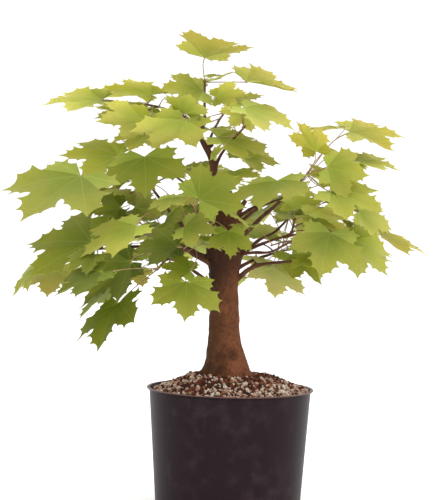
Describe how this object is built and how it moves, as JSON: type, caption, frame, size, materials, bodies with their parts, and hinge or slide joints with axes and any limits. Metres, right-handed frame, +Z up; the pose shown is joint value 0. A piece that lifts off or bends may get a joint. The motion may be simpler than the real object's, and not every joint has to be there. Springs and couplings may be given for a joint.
{
  "type": "potted bonsai tree",
  "caption": "Young broad-leaved tree trained as a bonsai, with a tapering trunk and layered leafy boughs, standing in a round plastic pot of soil.",
  "frame": {"origin": "centre of the pot's flat underside, on the surface that it stands on", "axes": "+Z up; -Y towards the plant's front; +X to the right as seen from the front"},
  "size_m": [0.5618, 0.5539, 0.6706],
  "materials": {
    "pot_plastic": "dark brownish grey moulded plastic with faint scuffs",
    "potting_soil": "damp brown potting mix with pale grit",
    "bark": "reddish brown bark",
    "young_bark": "dark reddish brown young bark",
    "leaf_green": "yellow-green leaf"
  },
  "bodies": {
    "root": {"pot": "pot_plastic", "soil": "potting_soil", "trunk": "bark", "leader": "young_bark", "bough_right_low": "young_bark", "bough_right_mid": "young_bark", "bough_right_hub": "young_bark", "bough_right_back": "young_bark", "bough_right_high": "young_bark", "bough_front_right": "young_bark", "bough_front": "young_bark", "bough_left_low": "young_bark", "bough_left_mid": "young_bark", "bough_left_long": "young_bark", "bough_left_high": "young_bark", "bough_back_left": "young_bark", "bough_back_right": "young_bark", "bough_back": "young_bark", "bough_back_high": "young_bark", "bough_back_top": "young_bark", "limb_top_left": "young_bark", "limb_top_right": "young_bark", "limb_top_back": "young_bark", "foliage_apex": "leaf_green", "foliage_top_left": "leaf_green", "foliage_top_right": "leaf_green", "foliage_top_back": "leaf_green", "foliage_right_high": "leaf_green", "foliage_right_hub": "leaf_green", "foliage_right_mid": "leaf_green", "foliage_right_low": "leaf_green", "foliage_right_back": "leaf_green", "foliage_front_right": "leaf_green", "foliage_front": "leaf_green", "foliage_left_mid": "leaf_green", "foliage_left_long": "leaf_green", "foliage_left_low": "leaf_green", "foliage_left_high": "leaf_green", "foliage_back_left": "leaf_green", "foliage_back_right": "leaf_green", "foliage_back": "leaf_green", "foliage_back_high": "leaf_green", "foliage_back_top": "leaf_green"}
  },
  "joints": []
}
